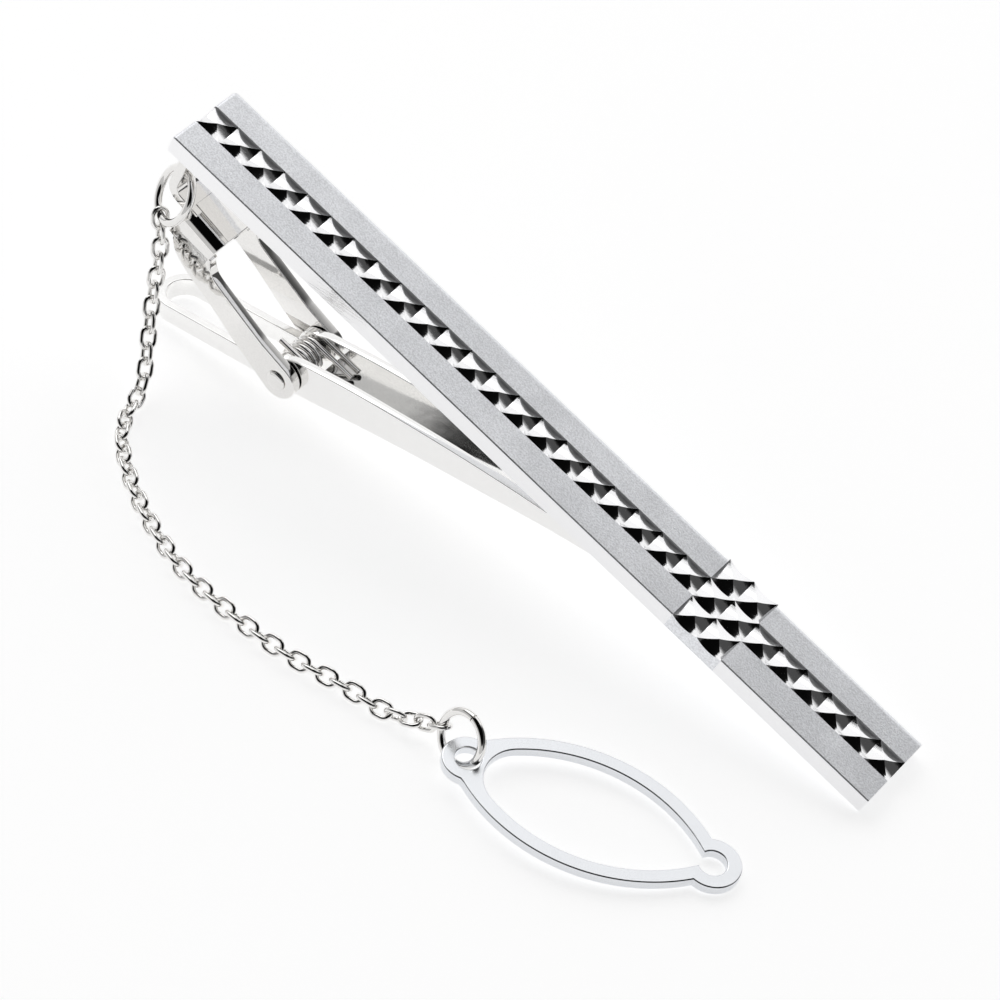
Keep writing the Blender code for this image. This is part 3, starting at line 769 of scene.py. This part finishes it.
def link_mesh():
    """A soldered chain link: two half circles of wire and short straights."""
    right = arc(LINK_STRAIGHT / 2, 0, LINK_RADIUS, -90, 90, 20)
    left = arc(-LINK_STRAIGHT / 2, 0, LINK_RADIUS, 90, 270, 20)
    path = [(x, y, 0.0) for x, y in right + left]
    return smooth(curve_mesh([path], True, LINK_WIRE / 2, resolution=4), 60)


def body_arc(radius, start, end):
    """The upper side of the loop's long arc, outer or inner by its radius."""
    drop = LOOP_ARC_RADIUS - LOOP_HALF_WIDTH
    us = np.linspace(start, end, 60)
    return [(u, math.sqrt(radius**2 - (u - LOOP_MIDDLE) ** 2) - drop) for u in us]


def loop_outlines():
    """The button loop's rim, long opening and eye; halves are mirrored about its axis."""
    outer = arc(0, 0, EYE_RADIUS, 180, 85, 30)[1:]
    outer += body_arc(LOOP_ARC_RADIUS, 0.45 * MM, LOOP_NECK - 0.1 * MM)
    outer += arc(KNOB_CENTRE, 0, KNOB_RADIUS, 111, 0, 36)[:-1]
    inner = arc(LOOP_END_CENTRE, 0, LOOP_END_RADIUS, 180, 121, 24)[1:]
    inner += body_arc(LOOP_ARC_RADIUS - LOOP_BAND, 2.6 * MM, LOOP_NECK)
    inner += arc(KNOB_CENTRE, 0, KNOB_HOLE_RADIUS, 146, 0, 36)[1:-1]
    rim = [(-EYE_RADIUS, 0.0), *outer, (KNOB_CENTRE + KNOB_RADIUS, 0.0)]
    rim += [(x, -y) for x, y in reversed(outer)]
    opening = [(LOOP_END_CENTRE - LOOP_END_RADIUS, 0.0), *inner, (KNOB_CENTRE + KNOB_HOLE_RADIUS, 0.0)]
    opening += [(x, -y) for x, y in reversed(inner)]
    eye = arc(0, 0, EYE_HOLE_RADIUS, 0, 360, 64)[:-1]
    return [rim, opening, eye]


# ---------------------------------------------------------------- materials

def metal(name, colour, roughness, spread, grain, grain_height=0.0, wave_height=0.0, scratch=0.0,
          streak=0.0, lay=0.35, mottle=0.02, metallic=1.0):
    """Procedural metal: fine grain, slow waviness and drawn lines in bump, roughness and colour."""
    made = bpy.data.materials.new(name)
    made.use_nodes = True
    nodes, links = made.node_tree.nodes, made.node_tree.links
    shader = nodes["Principled BSDF"]
    shader.inputs["Metallic"].default_value = metallic

    def put(kind, output, values, sources):
        """A new node with its values set and its inputs linked; returns the named output."""
        node = nodes.new(kind)
        for key, value in values.items():
            node.inputs[key].default_value = value
        for key, source in sources.items():
            links.new(source, node.inputs[key])
        return node.outputs[output]

    def noise(source, scale, detail):
        values = {"Scale": scale, "Detail": detail}
        return put("ShaderNodeTexNoise", "Fac", values, {"Vector": source})

    def remap(source, low, high, to_low=0.0, to_high=1.0):
        values = {"From Min": low, "From Max": high, "To Min": to_low, "To Max": to_high}
        return put("ShaderNodeMapRange", "Result", values, {"Value": source})

    def bump(source, height, **below):
        values = {"Strength": 1.0, "Distance": height}
        return put("ShaderNodeBump", "Normal", values, {"Height": source, **below})

    where = nodes.new("ShaderNodeTexCoord").outputs["Object"]
    fine = noise(where, 1 / grain, 3.0)
    slow = noise(where, 1 / WAVE_LENGTH, 2.0)
    turned = {"Scale": LINE_SCALE, "Rotation": (0.0, 0.0, lay)}
    lines = noise(put("ShaderNodeMapping", "Vector", turned, {"Vector": where}), 1.0, 4.0)

    tone = remap(slow, 0.3, 0.7, roughness - spread, roughness + spread)
    extra = remap(lines, 0.55, 0.8, 0.0, scratch)
    total = put("ShaderNodeMath", "Value", {}, {0: tone, 1: extra})
    links.new(total, shader.inputs["Roughness"])

    shade = nodes.new("ShaderNodeMix")
    shade.data_type = "RGBA"
    shade.inputs["A"].default_value = (*[c * (1 - mottle) for c in colour], 1.0)
    shade.inputs["B"].default_value = (*[min(1.0, c * (1 + mottle)) for c in colour], 1.0)
    links.new(remap(fine, 0.36, 0.64), shade.inputs["Factor"])
    links.new(shade.outputs["Result"], shader.inputs["Base Color"])

    cut = bump(lines, streak, Normal=bump(slow, wave_height))
    links.new(bump(fine, grain_height, Normal=cut), shader.inputs["Normal"])
    return made


SATIN = metal("satin_silver", (0.80, 0.81, 0.835), 0.40, 0.04, 0.11 * MM, grain_height=0.013 * MM,
              scratch=0.03, mottle=0.12)
BRIGHT = metal("bright_silver", (0.83, 0.82, 0.805), 0.06, 0.02, 0.12 * MM, wave_height=0.006 * MM,
               scratch=0.06)
# A lighter copy of the bright silver that differs only in colour: the lever's whiter look is a painted
# highlight standing in for its brighter reflection.
LIT_LEVER_SILVER = metal("lever_silver_painted_highlight", (0.92, 0.915, 0.905), 0.07, 0.02, 0.12 * MM, wave_height=0.006 * MM,
              scratch=0.06)
FACET = metal("facet_silver", (0.91, 0.91, 0.92), 0.10, 0.03, 0.06 * MM, grain_height=0.0006 * MM,
              scratch=0.06, streak=0.006 * MM, lay=1.25)
RECESS = metal("recess_silver", (0.75, 0.755, 0.765), 0.85, 0.05, 0.08 * MM, grain_height=0.004 * MM,
               metallic=0.15)
LOOP = metal("loop_silver", (0.79, 0.805, 0.83), 0.2, 0.04, 0.07 * MM, grain_height=0.0015 * MM,
             wave_height=0.003 * MM, scratch=0.05)


# ---------------------------------------------------------------- pieces

BAR = bar_matrix()
bar_body, bar_studs, stud_walls = make_bar_meshes()
place("bar_body", bar_body, SATIN, "clip", BAR, ("bar",))
place("bar_studs", bar_studs, FACET, "clip", BAR, ())
place("stud_walls", stud_walls, RECESS, "clip", BAR, ())
place("bracket", bracket_mesh(), BRIGHT, "clip", BAR, ("clip_bracket",))
at_pivot = BAR @ Matrix.Translation(PIVOT)
place("pin", pin_mesh(), BRIGHT, "clip", at_pivot, ("hinge_pin",))
# The lever wears the lighter copy of the bright silver, a painted highlight.
place("lever", lever_mesh(), LIT_LEVER_SILVER, "lever", at_pivot, ("clip_lever",))
place("spring", spring_mesh(), BRIGHT, "lever", at_pivot, ("torsion_spring",))

up = Vector((0, 0, 1))
for node, body, radius in (
    ("upper_jump_ring", "upper_ring", UPPER_RING_RADIUS),
    ("lower_jump_ring", "lower_ring", LOWER_RING_RADIUS),
):
    centre, _, normal = axes_of(node)
    turn = basis(up - normal * up.dot(normal), normal)
    spot = Matrix.Translation(centre) @ turn.to_4x4()
    place(body, ring_mesh(radius), BRIGHT, body, spot, (node,))

link = link_mesh()
for body in sorted(frame["bodies"]):
    if not body.startswith("link_"):
        continue
    node = "chain_" + body
    centre, along, normal = axes_of(node)
    spot = Matrix.Translation(centre) @ basis(along, normal).to_4x4()
    place(body + "_wire", link, BRIGHT, body, spot, (node,))

# The loop hangs from the lower ring and rests on the floor at its far end
eye = Vector(JOINTS["loop_hinge"]["pos_m"]) + EYE_DROP
dip = math.asin((eye.z - LOOP_THICK / 2) / (KNOB_CENTRE + KNOB_RADIUS))
heading = Matrix.Rotation(LOOP_HEADING, 4, "Z") @ Matrix.Rotation(dip, 4, "Y")
spot = Matrix.Translation(eye) @ heading
loop = sheet(loop_outlines(), LOOP_THICK, LOOP_EDGE)
place("loop", loop, LOOP, "loop", spot, ("button_loop",))


# ---------------------------------------------------------------- camera, floor and light

look = Matrix((CAMERA_RIGHT, [-c for c in CAMERA_DOWN], [-c for c in CAMERA_FORWARD])).transposed()
data = bpy.data.cameras.new("view")
data.sensor_width = SENSOR
data.lens = SENSOR * LENS_TO_SENSOR
data.clip_start = 0.01
data.clip_end = 10.0
camera = show("view", data)
camera.matrix_world = Matrix.Translation(BAR @ CAMERA_SPOT) @ BAR.to_3x3().to_4x4() @ look.to_4x4()
bpy.context.scene.camera = camera

corners = [(x * FLOOR_SPAN, y * FLOOR_SPAN, 0) for x, y in ((-1, -1), (1, -1), (1, 1), (-1, 1))]
floor_mesh = bpy.data.meshes.new("floor")
floor_mesh.from_pydata(corners, [], [(0, 1, 2, 3)])
floor = show("floor", floor_mesh)
floor.location.z = CAD_BOX[0].z - FLOOR_GAP
paper = bpy.data.materials.new("paper")
paper.use_nodes = True
surface = paper.node_tree.nodes["Principled BSDF"].inputs
surface["Base Color"].default_value = (FLOOR_GREY, FLOOR_GREY, FLOOR_GREY, 1)
surface["Roughness"].default_value = 0.6
surface["Emission Color"].default_value = (1.0, 1.0, 1.0, 1)
surface["Emission Strength"].default_value = FLOOR_GLOW
floor_mesh.materials.append(paper)


def direction_mask(nodes, links, source, toward, start, end):
    """1 where the world direction lies near toward, falling to 0, from dot product start to end."""
    dot = nodes.new("ShaderNodeVectorMath")
    dot.operation = "DOT_PRODUCT"
    dot.inputs[1].default_value = Vector(toward).normalized()
    links.new(source, dot.inputs[0])
    mask = nodes.new("ShaderNodeMapRange")
    mask.interpolation_type = "SMOOTHSTEP"
    mask.inputs["From Min"].default_value = start
    mask.inputs["From Max"].default_value = end
    links.new(dot.outputs["Value"], mask.inputs["Value"])
    return mask.outputs["Result"]


def studio(base, patches):
    """World light: an even base, then patches of other brightness by direction, each over the last."""
    world = bpy.data.worlds.new("studio")
    world.use_nodes = True
    bpy.context.scene.world = world
    nodes, links = world.node_tree.nodes, world.node_tree.links
    where = nodes.new("ShaderNodeTexCoord")
    level = None
    for toward, start, end, value in patches:
        mask = direction_mask(nodes, links, where.outputs["Generated"], toward, start, end)
        mix = nodes.new("ShaderNodeMix")
        mix.data_type = "FLOAT"
        links.new(mask, mix.inputs["Factor"])
        mix.inputs["A"].default_value = base
        if level:
            links.new(level, mix.inputs["A"])
        mix.inputs["B"].default_value = value
        level = mix.outputs["Result"]
    links.new(level, nodes["Background"].inputs["Strength"])
    nodes["Background"].inputs["Color"].default_value = (1.0, 1.0, 1.0, 1.0)


studio(WORLD_BASE, WORLD_PATCHES)
key = bpy.data.lights.new("key", "AREA")
key.shape = "DISK"
key.size = KEY_SIZE
key.energy = KEY_POWER
lamp = show("key", key)
aim = Vector(KEY_TOWARD).normalized()
lamp.location = aim * KEY_DISTANCE
lamp.rotation_mode = "QUATERNION"
lamp.rotation_quaternion = (-aim).to_track_quat("-Z", "Y")
bpy.context.scene.view_settings.view_transform = "Standard"
